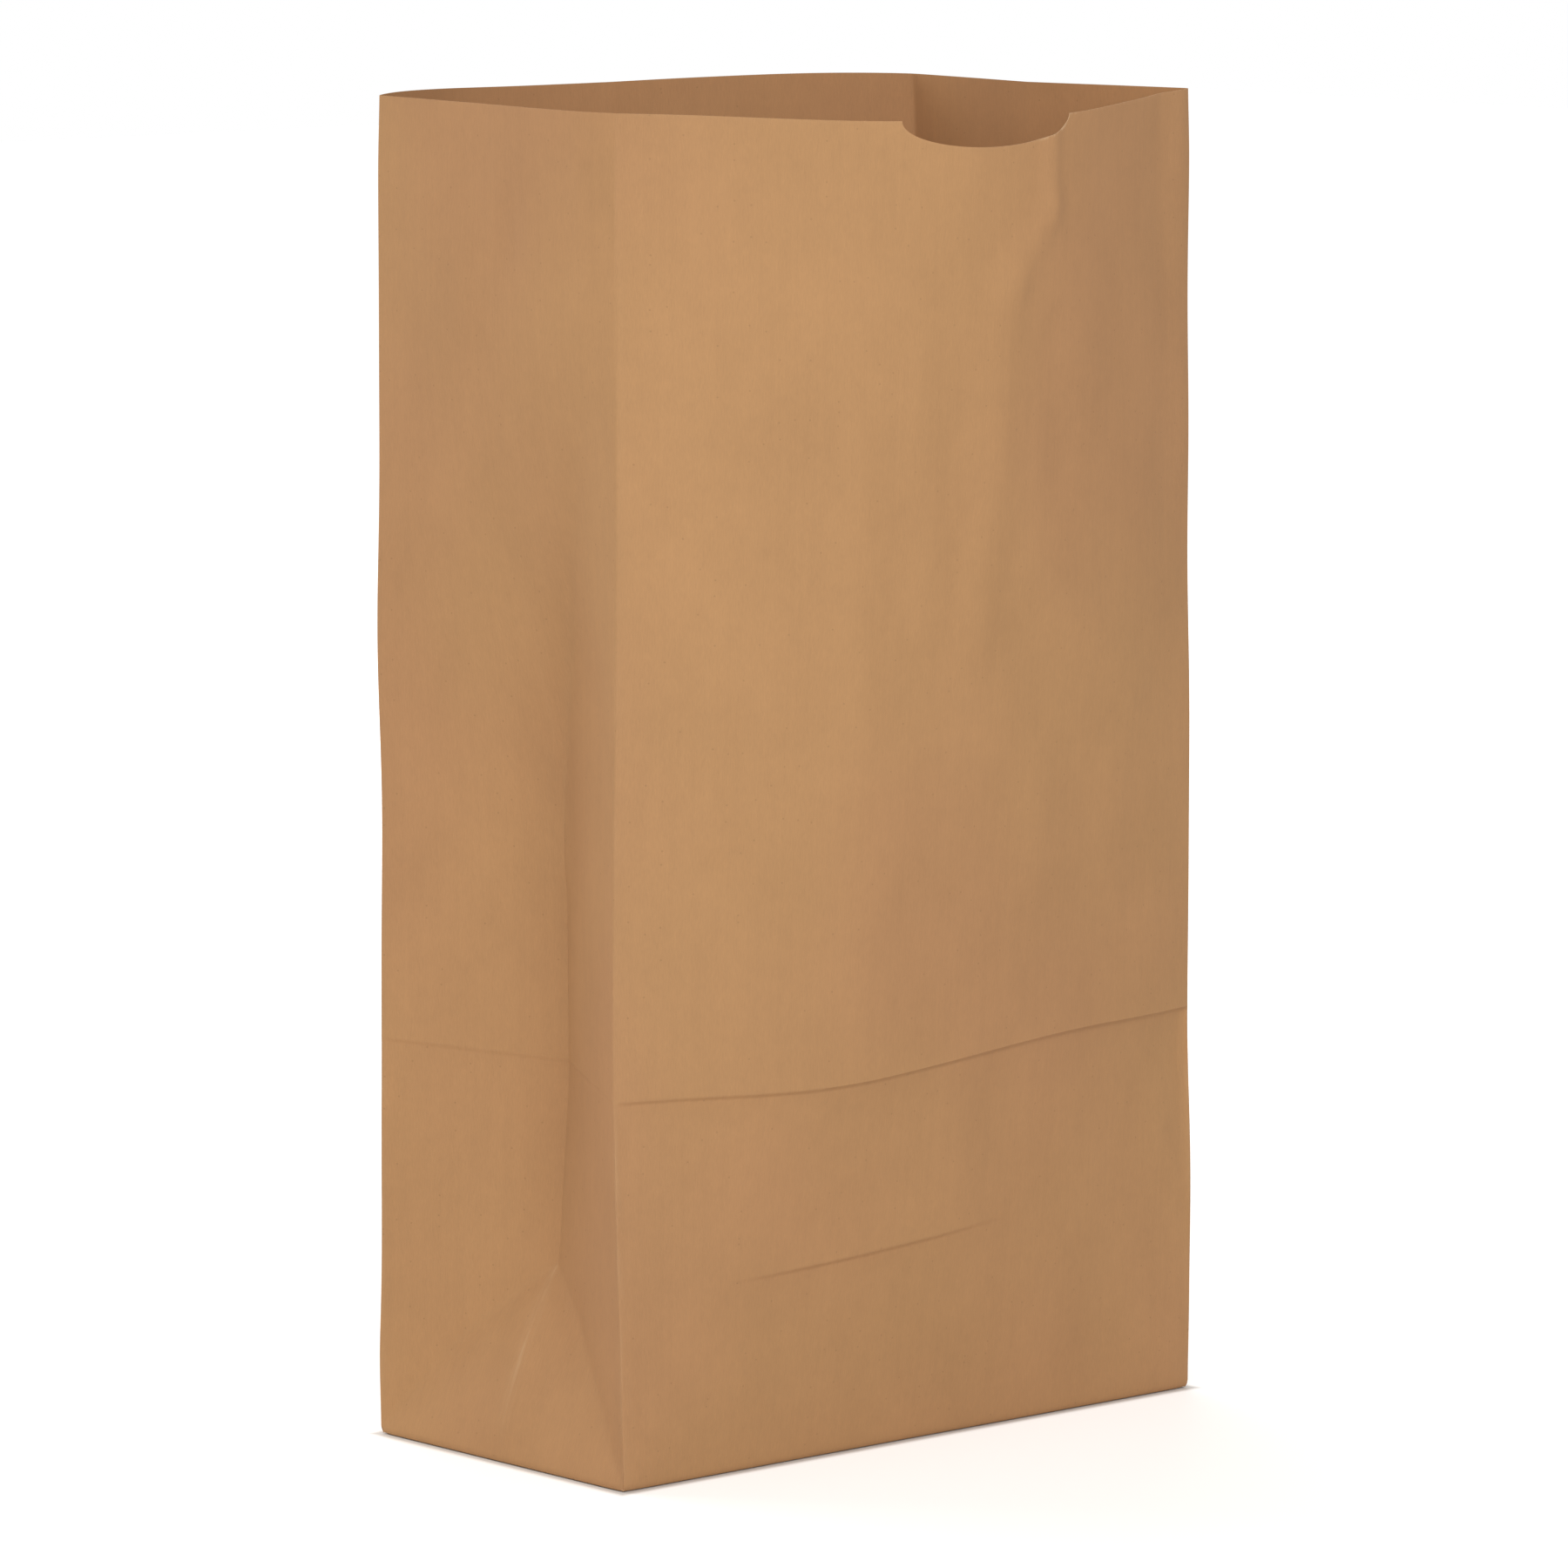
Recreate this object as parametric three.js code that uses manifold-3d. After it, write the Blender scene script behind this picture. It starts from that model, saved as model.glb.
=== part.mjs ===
// Brown paper grocery bag, standing open: a gusseted tube of kraft paper with a lengthwise glued
// lap, a folded and glued block bottom, pressed fold marks and a thumb notch in the front mouth.
// Millimetres, +Z up. The origin is the middle of the base, where the bag stands.
// The front panel faces -Y and the gussets face -X (left) and +X (right).
import * as THREE from "three";
import { mergeVertices } from "three/addons/utils/BufferGeometryUtils.js";
import Module from "manifold-3d";

// The sheet and the folded blank
const PAPER = 0.2; // thickness of the kraft paper
const PANEL_WIDTH = 248; // front and back panel, fold to fold
const GUSSET_WIDTH = 122; // side panel, fold to fold
const PANEL_HEIGHT = 432; // base fold to mouth, measured along the paper
const LAP_WIDTH = 22; // glued lap down the middle of the back panel
const FLAP_OVERLAP = 22; // how far the front and back bottom flaps overlap
const NOTCH_WIDTH = 74; // thumb notch, middle of the front mouth
const NOTCH_DEPTH = 8.7;
const NOTCH_ROUNDNESS = 2.1; // exponent of the notch outline: 2 is an ellipse, more is squarer

// The fold mark pressed round the bag where the folded bottom lay
const MARK_HEIGHT = 125; // along the paper
const MARK_RISE = { FL: -2, FR: 3.5, BR: 4, BL: 6 }; // how crooked it is at each upright fold
const MARK_WAVE = { most: 4.5, middle: 0.68, half: 0.45 }; // and its rise across the front panel

// How far each upright fold has moved at the mouth and at the waist: F front, B back, L left, R right
const MOUTH_SHIFT = { FL: [5.7, 9.2], FR: [-17, -13], BR: [-25, -12], BL: [9, 7] };
const WAIST_SHIFT = { FL: [0.8, 4.5], FR: [0, 0], BR: [0, 0], BL: [-6, -9] };
const MOUTH_RISE = { FL: -1.3, FR: 0, BR: 0.8, BL: 0.3 }; // how much higher or lower it ends
const WAIST_HEIGHT = 140;
const WAIST_FADE = 340; // the waist's pull is gone above this height

// How far the panels bow out of the plane between their folds
const FRONT_BOW = { mark: 23, mouth: 45, middleAtMark: 0.38, middleAtMouth: 0.48 };
const BACK_BOW = { mark: 25, mouth: 44, middleAtMark: 0.5, middleAtMouth: 0.5 };
const FRONT_SINK = { most: 1.5, middle: 0.28 }; // paper taken up by soft dents in the front

// How deep the middle of each gusset is pushed in
const LEFT_PUSH = { apex: 26, mark: 30, mouth: -2 };
const RIGHT_PUSH = { apex: 12, mark: 13, mouth: 10 };
const PUSH_HOLD = 195; // the left gusset stays pushed in up to here
const PUSH_END = 372; // and is flat from here up
const VALLEY_DRIFT = 0.13; // share of the gusset where the left valley meets the front fold
const FOOT_RIDGE = 3.2; // how far the middle of the foot triangle stands out

// Mesh resolution
const GUSSET_STEPS = 12;
const LAP_STEP = 1.2; // width of the lap's bevelled edges
const WELD = 0.04; // how deep a glued layer sinks into the next
const TOLERANCE = 1e-3;

const APEX = GUSSET_WIDTH / 2;
const FLOOR = 2 * PAPER; // underside of the bag's floor, over the two bottom flaps
const FLAP = GUSSET_WIDTH / 2 + FLAP_OVERLAP / 2;
const CORNERS = { FL: [-1, -1], FR: [1, -1], BR: [1, 1], BL: [-1, 1] };

const clamp01 = (t) => Math.min(1, Math.max(0, t));
const lerp = (a, b, t) => a + (b - a) * t;
const ease = (t) => clamp01(t) ** 2 * (3 - 2 * clamp01(t));
const mix = (p, q, t) => p.map((value, i) => lerp(value, q[i], t));

// Rises from 0 at the base to 1 at the waist and falls back to 0 higher up
function waist(h) {
  if (h < WAIST_HEIGHT) return ease(h / WAIST_HEIGHT);
  return 1 - ease((h - WAIST_HEIGHT) / (WAIST_FADE - WAIST_HEIGHT));
}

// Plan position of an upright fold at paper height h
function fold(name, h) {
  const base = [(CORNERS[name][0] * PANEL_WIDTH) / 2, (CORNERS[name][1] * GUSSET_WIDTH) / 2];
  const lean = h / PANEL_HEIGHT;
  return base.map((b, i) => b + MOUTH_SHIFT[name][i] * lean + WAIST_SHIFT[name][i] * waist(h));
}

// A cosine hump, 1 high in the middle and 0 from half away
function hump(t, { middle, half }) {
  return 0.5 + 0.5 * Math.cos(Math.PI * Math.min(1, Math.abs(t - middle) / half));
}

// Two half parabolas that meet at their top, 1 high, at the share m of the panel
function bell(t, m) {
  const u = t < m ? (m - t) / m : (t - m) / (1 - m);
  return 1 - u ** 2;
}

// How far a bowed panel stands out at share t across and paper height h
function bowOut(bow, t, h) {
  const above = clamp01((h - MARK_HEIGHT) / (PANEL_HEIGHT - MARK_HEIGHT));
  const size = h < MARK_HEIGHT ? (bow.mark * h) / MARK_HEIGHT : lerp(bow.mark, bow.mouth, above);
  return size * bell(t, lerp(bow.middleAtMark, bow.middleAtMouth, above));
}

// A point of a bowed panel between two upright folds, seen from above
function bowedPlan(from, to, bow, t, h) {
  const a = fold(from, h);
  const b = fold(to, h);
  const length = Math.hypot(b[0] - a[0], b[1] - a[1]);
  const out = bowOut(bow, t, h) / length;
  const [x, y] = mix(a, b, t);
  return [x + (b[1] - a[1]) * out, y - (b[0] - a[0]) * out];
}

// How far the gusset is pushed in at its middle
function pushIn(push, h) {
  if (h < APEX) return push.apex;
  if (h < MARK_HEIGHT) return lerp(push.apex, push.mark, (h - APEX) / (MARK_HEIGHT - APEX));
  return lerp(push.mark, push.mouth, ease((h - PUSH_HOLD) / (PUSH_END - PUSH_HOLD)));
}

// Share of the gusset, from the front fold, where its valley lies: the left one drifts forward
function valleyShare(side, h) {
  if (side === "R") return 0.5;
  return lerp(0.5, VALLEY_DRIFT, ease((h - PUSH_HOLD) / (PUSH_END - PUSH_HOLD)));
}

// A point of a gusset seen from above: a tent pushed in along its valley, and below the apex the
// flat foot triangle between two 45 degree folds, with a slight ridge down its middle
function gussetPlan(side, share, h) {
  const left = side === "L";
  const push = left ? LEFT_PUSH : RIGHT_PUSH;
  const valley = valleyShare(side, h);
  const [x, y] = mix(fold("F" + side, h), fold("B" + side, h), share);
  const tent = Math.min(share / valley, (1 - share) / (1 - valley));
  const rise = clamp01(h / APEX);
  const half = Math.max(rise / 2, 1e-6);
  const ridge = h < APEX ? clamp01(1 - Math.abs(share - 0.5) / (1 - half)) : 0;
  const foot = push.apex * rise - FOOT_RIDGE * ridge * 4 * rise * (1 - rise);
  const tentDepth = pushIn(push, h) * tent;
  const depth = h < APEX ? Math.min(tentDepth, foot) : tentDepth;
  return [x + (left ? depth : -depth), y];
}

// Rows of the paper, from the base fold to the mouth
function paperRows() {
  const rows = [];
  for (let i = 0; i <= GUSSET_STEPS / 2; i++) rows.push((i * GUSSET_WIDTH) / GUSSET_STEPS);
  for (const share of [0.25, 0.5, 0.75, 0.92, 1]) rows.push(lerp(APEX, MARK_HEIGHT, share));
  const upper = 12;
  for (let i = 1; i <= upper; i++) {
    rows.push(lerp(MARK_HEIGHT, PANEL_HEIGHT, 0.03 + 0.97 * (i / upper)));
  }
  rows.push(PANEL_HEIGHT - NOTCH_DEPTH);
  return rows.sort((a, b) => a - b);
}

// How much the mark's crookedness lifts a row, fading away from the mark
function crooked(rise, h) {
  const fade = h < MARK_HEIGHT ? (h - APEX) / (MARK_HEIGHT - APEX) : 2 - h / MARK_HEIGHT;
  return rise * clamp01(fade);
}

// Depth of the thumb notch at distance s from the middle of the front mouth
function notchDepth(s) {
  const u = Math.abs(s) / (NOTCH_WIDTH / 2);
  return u >= 1 ? 0 : NOTCH_DEPTH * (1 - u ** NOTCH_ROUNDNESS) ** (1 / NOTCH_ROUNDNESS);
}

// The columns round the bag, anticlockwise from the front left fold
function columns() {
  const list = [];
  const add = (face, from, to, share, extra = {}) => {
    const wave = face === "front" ? MARK_WAVE.most * hump(share, MARK_WAVE) : 0;
    const rise = lerp(MARK_RISE[from], MARK_RISE[to], share) + wave;
    list.push({ face, from, to, share, rise, notch: 0, lap: 0, ...extra });
  };
  const side = [0, 0.05, 0.11, 0.18, 0.26];
  for (const t of side) add("front", "FL", "FR", t);
  const notchSteps = 14;
  for (let i = 0; i <= notchSteps; i++) {
    const s = (-Math.cos((Math.PI * i) / notchSteps) * NOTCH_WIDTH) / 2;
    add("front", "FL", "FR", 0.5 + s / PANEL_WIDTH, { notch: notchDepth(s) });
  }
  for (const t of [...side].reverse()) if (t > 0) add("front", "FL", "FR", 1 - t);
  for (let i = 0; i < GUSSET_STEPS; i++) add("R", "FR", "BR", i / GUSSET_STEPS);
  for (const t of [0, 0.06, 0.14, 0.24, 0.34]) add("back", "BR", "BL", t);
  const lap = LAP_WIDTH / 2 / PANEL_WIDTH;
  const bevel = LAP_STEP / PANEL_WIDTH;
  add("back", "BR", "BL", 0.5 - lap - bevel);
  add("back", "BR", "BL", 0.5 - lap, { lap: 1 });
  add("back", "BR", "BL", 0.5 + lap, { lap: 1 });
  add("back", "BR", "BL", 0.5 + lap + bevel);
  for (const t of [0.66, 0.76, 0.86, 0.94]) add("back", "BR", "BL", t);
  for (let i = 0; i < GUSSET_STEPS; i++) add("L", "BL", "FL", i / GUSSET_STEPS);
  return list;
}

// Plan position of a column at paper height h
function plan(column, h) {
  const { face, from, to, share } = column;
  if (face === "front") return bowedPlan(from, to, FRONT_BOW, share, h);
  if (face === "back") return bowedPlan(from, to, BACK_BOW, share, h);
  return gussetPlan(face, face === "R" ? share : 1 - share, h);
}

// Heights up one column: each step keeps its paper length, so a step that leans out climbs less
function climb(planAt, heights) {
  const z = [FLOOR];
  for (let j = 1; j < heights.length; j++) {
    const a = planAt(heights[j - 1]);
    const b = planAt(heights[j]);
    const run = heights[j] - heights[j - 1];
    const sideways = Math.hypot(b[0] - a[0], b[1] - a[1]);
    z.push(z[j - 1] + Math.sqrt(Math.max(run ** 2 - sideways ** 2, 0)));
  }
  return z;
}

// Outer points of one column
function columnPoints(column, rows) {
  const { face, from, to, share, rise, notch } = column;
  const heights = rows.map((h) => Math.min(h + crooked(rise, h), PANEL_HEIGHT - notch));
  const last = heights.length - 1;
  heights[last - 1] = Math.min(heights[last - 1], (heights[last] + heights[last - 2]) / 2);
  const planAt = (h) => plan(column, h);
  let z;
  if (face === "L" || face === "R") {
    const start = climb((h) => fold(from, h), heights);
    const end = climb((h) => fold(to, h), heights);
    z = start.map((value, j) => lerp(value, end[j], share));
  } else z = climb(planAt, heights);
  const sink = face === "front" ? FRONT_SINK.most * bell(share, FRONT_SINK.middle) : 0;
  const shift = lerp(MOUTH_RISE[from], MOUTH_RISE[to], share) - sink;
  return heights.map((h, j) => [...planAt(h), z[j] + (shift * h) / PANEL_HEIGHT]);
}

// The same ring of points moved in by one thickness, square to the paper and mitred at the folds
function movedIn(ring, distances) {
  const n = ring.length;
  const normal = (p, q) => {
    const length = Math.hypot(q[0] - p[0], q[1] - p[1]);
    return [-(q[1] - p[1]) / length, (q[0] - p[0]) / length];
  };
  return ring.map((p, i) => {
    const a = normal(ring[(i + n - 1) % n], p);
    const b = normal(p, ring[(i + 1) % n]);
    const mitre = distances[i] / (1 + a[0] * b[0] + a[1] * b[1]);
    return [p[0] + (a[0] + b[0]) * mitre, p[1] + (a[1] + b[1]) * mitre, p[2]];
  });
}

// Closed geometry from points and triangles
function closed(points, triangles) {
  const geometry = new THREE.BufferGeometry();
  geometry.setAttribute("position", new THREE.Float32BufferAttribute(points.flat(), 3));
  geometry.setIndex(triangles.flat());
  return geometry;
}

// The tube with its walls and a plain floor: outer skin, inner skin, mouth edge and floor
function tube() {
  const rows = paperRows();
  const list = columns();
  const n = list.length;
  const m = rows.length;
  const made = list.map((column) => columnPoints(column, rows));
  const bare = rows.map((_, j) => made.map((points) => points[j]));
  const outer = bare.map((ring) => movedIn(ring, list.map((column) => -PAPER * column.lap)));
  const inner = bare.map((ring) => movedIn(ring, list.map(() => PAPER)));
  inner[0] = inner[0].map(([x, y, z]) => [x, y, z + PAPER]);
  const points = [...outer.flat(), ...inner.flat()];
  const at = (skin, j, i) => skin * n * m + j * n + (i % n);
  const triangles = [];
  const quad = (a, b, c, d, turned) => {
    if (turned) triangles.push([a, b, d], [b, c, d]);
    else triangles.push([a, b, c], [a, c, d]);
  };
  for (let i = 0; i < n; i++) {
    const { face, share } = list[i];
    const risesToMiddle = share < 0.5;
    const turned = (face === "L" || face === "R") && !risesToMiddle;
    for (let j = 0; j + 1 < m; j++) {
      quad(at(0, j, i), at(0, j, i + 1), at(0, j + 1, i + 1), at(0, j + 1, i), turned);
      quad(at(1, j, i + 1), at(1, j, i), at(1, j + 1, i), at(1, j + 1, i + 1), !turned);
    }
    quad(at(0, m - 1, i), at(0, m - 1, i + 1), at(1, m - 1, i + 1), at(1, m - 1, i), false);
  }
  const centre = points.length;
  points.push([0, 0, FLOOR], [0, 0, FLOOR + PAPER]);
  for (let i = 0; i < n; i++) {
    triangles.push([centre, at(0, 0, i + 1), at(0, 0, i)]);
    triangles.push([centre + 1, at(1, 0, i), at(1, 0, i + 1)]);
  }
  return closed(points, triangles);
}

// A flat piece of paper of the given outline, from one height to another
function layer(outline, low, high) {
  const shape = new THREE.Shape(outline.map(([x, y]) => new THREE.Vector2(x, y)));
  const geometry = new THREE.ExtrudeGeometry(shape, { depth: high - low, bevelEnabled: false });
  return geometry.translate(0, 0, low);
}

// Outline of a front or back bottom flap: its sides run in at 45 degrees to its free edge
function flapOutline(side) {
  const half = PANEL_WIDTH / 2 - WELD;
  const edge = side * (GUSSET_WIDTH / 2 - WELD);
  const free = edge - side * FLAP;
  const outline = [[-half, edge], [half, edge], [half - FLAP, free], [FLAP - half, free]];
  return side < 0 ? outline : outline.reverse();
}

// Outline of a gusset's bottom flap, inside on the floor
function gussetFlapOutline(side) {
  const wall = side * (PANEL_WIDTH / 2 - PAPER / 2);
  const free = side * (PANEL_WIDTH / 2 - FLAP);
  const half = (GUSSET_WIDTH - PAPER) / 2;
  const outline = [[wall, -half], [free, -half], [free, half], [wall, half]];
  return side < 0 ? outline.reverse() : outline;
}

// A geometry as a solid that can be joined
function solid(wasm, geometry) {
  const bare = new THREE.BufferGeometry();
  bare.setAttribute("position", geometry.getAttribute("position"));
  bare.setIndex(geometry.getIndex());
  const merged = mergeVertices(bare, TOLERANCE);
  return new wasm.Manifold(new wasm.Mesh({
    numProp: 3,
    vertProperties: merged.getAttribute("position").array,
    triVerts: new Uint32Array(merged.getIndex().array),
  }));
}

// The joined solid as a three.js geometry
function geometryOf(body) {
  const mesh = body.getMesh();
  const geometry = new THREE.BufferGeometry();
  geometry.setAttribute("position", new THREE.BufferAttribute(mesh.vertProperties, 3));
  geometry.setIndex(new THREE.BufferAttribute(mesh.triVerts, 1));
  geometry.computeVertexNormals();
  return geometry;
}

const wasm = await Module();
wasm.setup();

const layers = [
  layer(flapOutline(1), 0, FLOOR + WELD), // back flap, outermost, glued over the front flap
  layer(flapOutline(-1), PAPER, FLOOR + WELD),
  layer(gussetFlapOutline(-1), FLOOR + PAPER - WELD, FLOOR + 2 * PAPER),
  layer(gussetFlapOutline(1), FLOOR + PAPER - WELD, FLOOR + 2 * PAPER),
];
const body = layers.reduce((sum, one) => sum.add(solid(wasm, one)), solid(wasm, tube()));

const kraft = new THREE.MeshStandardMaterial({ color: 0xbc9268, roughness: 0.85, metalness: 0 });
const paperBag = new THREE.Mesh(geometryOf(body), kraft);
paperBag.name = "paper_bag";

const bag = new THREE.Group();
bag.add(paperBag);
export default bag;
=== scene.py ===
import math

import bpy
import numpy as np
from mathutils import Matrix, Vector


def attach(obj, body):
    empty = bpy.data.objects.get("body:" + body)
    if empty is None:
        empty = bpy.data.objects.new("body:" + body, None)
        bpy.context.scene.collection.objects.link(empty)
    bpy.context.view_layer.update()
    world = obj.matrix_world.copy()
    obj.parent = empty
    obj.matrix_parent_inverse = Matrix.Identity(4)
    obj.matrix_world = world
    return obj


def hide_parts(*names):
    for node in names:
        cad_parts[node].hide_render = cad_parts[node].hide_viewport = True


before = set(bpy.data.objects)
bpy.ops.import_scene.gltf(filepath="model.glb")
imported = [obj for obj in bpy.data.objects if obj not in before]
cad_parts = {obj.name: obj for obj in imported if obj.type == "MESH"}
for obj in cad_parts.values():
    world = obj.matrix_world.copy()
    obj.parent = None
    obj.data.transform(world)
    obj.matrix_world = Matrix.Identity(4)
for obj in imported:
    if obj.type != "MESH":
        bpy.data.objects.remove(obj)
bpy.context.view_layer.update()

# A brown paper grocery bag, standing open. The bag's skin is worked out as whole arrays over two
# parameters: the way round the bag and the way up the paper. Metres, +Z up, the front facing -Y.

MM = 0.001

# The sheet and the folded blank
PAPER = 0.2 * MM
PANEL_WIDTH = 248 * MM
GUSSET_WIDTH = 122 * MM
PANEL_HEIGHT = 432 * MM
FLAP_OVERLAP = 22 * MM
LAP_WIDTH = 22 * MM
NOTCH_WIDTH = 74 * MM
NOTCH_DEPTH = 8.7 * MM
NOTCH_ROUNDNESS = 2.1
NOTCH_REACH = 60 * MM

# The fold mark pressed round the bag, and how crooked it is at each upright fold
MARK_HEIGHT = 125 * MM
MARK_RISE = {"FL": -2 * MM, "FR": 3.5 * MM, "BR": 4 * MM, "BL": 6 * MM}
MARK_WAVE = {"most": 4.5 * MM, "middle": 0.68, "half": 0.45}

# How far each upright fold has moved at the mouth and at the waist, and how high it ends
MOUTH_SHIFT = {"FL": (5.7, 9.2), "FR": (-17, -13), "BR": (-25, -12), "BL": (9, 7)}
WAIST_SHIFT = {"FL": (0.8, 4.5), "FR": (0, 0), "BR": (0, 0), "BL": (-6, -9)}
MOUTH_RISE = {"FL": -1.3 * MM, "FR": 0, "BR": 0.8 * MM, "BL": 0.3 * MM}
WAIST_HEIGHT = 140 * MM
WAIST_FADE = 340 * MM

# How far the panels bow out, and where across them
FRONT_BOW = {"mark": 23 * MM, "mouth": 45 * MM, "middle_at_mark": 0.38, "middle_at_mouth": 0.48}
BACK_BOW = {"mark": 25 * MM, "mouth": 44 * MM, "middle_at_mark": 0.5, "middle_at_mouth": 0.5}
FRONT_SINK = 1.5 * MM
SINK_MIDDLE = 0.28

# How deep each gusset's middle is pushed in
LEFT_PUSH = {"apex": 26 * MM, "mark": 30 * MM, "mouth": -2 * MM}
RIGHT_PUSH = {"apex": 12 * MM, "mark": 13 * MM, "mouth": 10 * MM}
PUSH_HOLD = 195 * MM
PUSH_END = 372 * MM
VALLEY_DRIFT = 0.13
FOOT_RIDGE = 3.2 * MM

# The crease pressed along the foot triangle's near leg, and fainter along the far one
LEG_DEPTH = 0.3 * MM
LEG_FAR_SHARE = 0.3
LEG_WIDTH = 1.7 * MM
LEG_MIDDLE = 36 * MM
LEG_HALF = 30 * MM

GIRTH = 2 * (PANEL_WIDTH + GUSSET_WIDTH)
APEX = GUSSET_WIDTH / 2
FLOOR = 2 * PAPER
CORNERS = {"FL": (-1, -1), "FR": (1, -1), "BR": (1, 1), "BL": (-1, 1)}

# How the grid of the skin is spaced: distances from an upright fold, and counts of columns and rows
FOLD_COLUMNS = np.array([0, 0.4, 1.0, 2.2]) * MM
FRONT_SIDE_COLUMNS = 28
NOTCH_COLUMNS = 52
BACK_HALF_COLUMNS = 24
LAP_COLUMNS = 7
GUSSET_HALF_COLUMNS = 22
VALLEY_COLUMN = 1.2 * MM

# The lap's free edge is a step as wide as the paper is thick; over the hidden edge the paper slopes
LAP_STEP = 0.2 * MM
LAP_RISE = 0.4 * MM
LAP_SLOPE = 3 * MM

# The pressed mark in section: a raised lip above it, a quick drop, and a slow hollow below it
LIP = 0.5 * MM
LIP_FADE = 5 * MM
DROP = 1.3 * MM
DROP_WIDTH = 1.3 * MM
DROP_FADE = 26 * MM
HOLLOW = 1.3 * MM
HOLLOW_DEPTH_AT = 17 * MM

# How strongly the mark is pressed where each face begins and ends, going round from the near fold
MARK_STRENGTH = {"front": (0.58, 1.15), "R": (0.7, 0.5), "back": (0.6, 0.6), "L": (0.4, 0.1)}

# The short mark low on the front: from and to, across and up the paper, and the share of its length
# over which each end fades
SHORT_MARK = {
    "from": (30 * MM, 62.4 * MM),
    "to": (164 * MM, 72.6 * MM),
    "strength": 0.64,
    "ends": 0.35,
}

# Soft ridges and hollows in the paper: start, end (across from the near fold, up), half width, height
FRONT_RIDGES = [
    ((152, 434), (152, 402), 4.5, 1.5),
    ((152, 402), (134, 379), 7, 1.5),
    ((134, 379), (126, 272), 10, 1.6),
    ((182, 440), (176, 366), 20, -1.0),
    ((158, 362), (164, 316), 9, -1.0),
    ((96, 376), (98, 322), 9, 1.1),
    ((102, 302), (103, 272), 8, 0.9),
    ((73, 318), (75, 268), 11, 1.2),
    ((150, 285), (207, 243), 11, 1.8),
    ((28, 252), (29, 206), 6, 1.0),
    ((29, 206), (52, 188), 6, 0.9),
    ((77, 252), (78, 222), 9, 0.8),
    ((156, 226), (157, 186), 10, 1.1),
    ((199, 216), (200, 178), 10, 1.1),
    ((232, 96), (232, 84), 9, 0.9),
]
LEFT_RIDGES = [
    ((61, 50), (61, 14), 12, 2.0),
    ((52, 398), (53, 386), 7, -0.98),
    ((76, 384), (77, 366), 10, 0.98),
    ((61, 222), (61, 190), 6, 1.12),
    ((84, 34), (86, 14), 5, 0.7),
]
BACK_RIDGES = [
    ((60, 330), (96, 236), 12, 1.0),
    ((176, 372), (168, 292), 11, -0.9),
    ((204, 190), (168, 150), 9, 0.8),
]
RIGHT_RIDGES = [
    ((34, 340), (42, 262), 8, 0.7),
    ((88, 300), (80, 214), 9, -0.7),
]

# Beside the right fold the front falls away towards the mouth
FALL_DEPTH = 4.6 * MM
FALL_PLACE = 227 * MM
FALL_WIDTH = 44 * MM
FALL_EDGE = 19 * MM
FALL_FROM = 240 * MM

# Slight waves all over the sheet: how many, how high, from and to what length in mm and what turn
WAVE_COUNT = 9
WAVE_HEIGHT = 0.13 * MM
WAVE_LENGTHS = (45, 130)
WAVE_TURN = 0.9
WAVE_SEED = 7

# Over what distance the relief fades in: at the glued foot, at the sheet's seam and beside the folds
RIDGE_FADE = 12 * MM
WAVE_FADE = 40 * MM
SEAM_FADE = 20 * MM
MARK_FADE = 3 * MM

# How worn the paper is: along the folds, more so low down, on the marks, at the foot and at the mouth,
# with a painted highlight at the notch's right end
FOLD_WORN_WIDTH = 0.9 * MM
FOLD_WORN_LOW = 1
FOLD_WORN_HIGH = 0.2
FOLD_WORN_FROM = 100 * MM
FOLD_WORN_OVER = 30 * MM
MARK_WORN = 0.15
MARK_WORN_WIDTH = 1 * MM
SHORT_MARK_WORN = 0.1
LEG_WORN = {"near": 0.15, "far": 0.12}
VALLEY_WORN = 0.1
FOOT_MIDDLE_WORN = 1.6
FOOT_MIDDLE_OVER = 30 * MM
EDGE_WORN = 0.3
# At the notch's right end the rim is made much paler: partly a paler punched edge, mostly a painted
# highlight where the curled edge catches the light
PUNCHED_WEAR_AND_HIGHLIGHT = 6
PUNCHED_PLACE = PANEL_WIDTH / 2 + NOTCH_WIDTH / 2 - 6 * MM
PUNCHED_HALF = 14 * MM
# The inside shows the wear and the painted highlight more faintly
INSIDE_WEAR_AND_HIGHLIGHT = 0.4

# How round the upright folds are, halfway up, over the last stretch to the mouth, most so at the
# near fold, and at the base
FOLD_RADIUS = 0.35 * MM
FOLD_DRAW = 0.3
MOUTH_RADIUS = 1 * MM
MOUTH_STRETCH = 26 * MM
NEAR_MOUTH_RADIUS = 4 * MM
NEAR_REACH = 30 * MM
BASE_RADIUS = 2.2 * MM
BASE_STRETCH = 34 * MM
SOFTENED_WITHIN = 1.1 * MM
SHARP_ANGLE = math.radians(42)

# The least length of a step along the paper, and the least that a mitre is divided by
LEAST_STEP = 1e-9
LEAST_MITRE = 0.3

# The rim of the mouth, the heel round the base, and how far back the outer bottom flaps lie from it
RIM = 1 * MM
HEEL = 2 * MM
HEEL_DEPTH = 0.9 * MM
FLAP_SETBACK = 1.3 * MM

# The rows' spacing up the paper: beyond the foot's apex, up to each of these heights, so many rows
ROWS = [
    (72 * MM, 20),
    (MARK_HEIGHT - 5.5 * MM, 14),
    (MARK_HEIGHT + 3 * MM, 17),
    (PANEL_HEIGHT - 16 * MM, 66),
    (PANEL_HEIGHT - RIM, 6),
    (PANEL_HEIGHT, 1),
]

FLAP = GUSSET_WIDTH / 2 + FLAP_OVERLAP / 2

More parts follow.
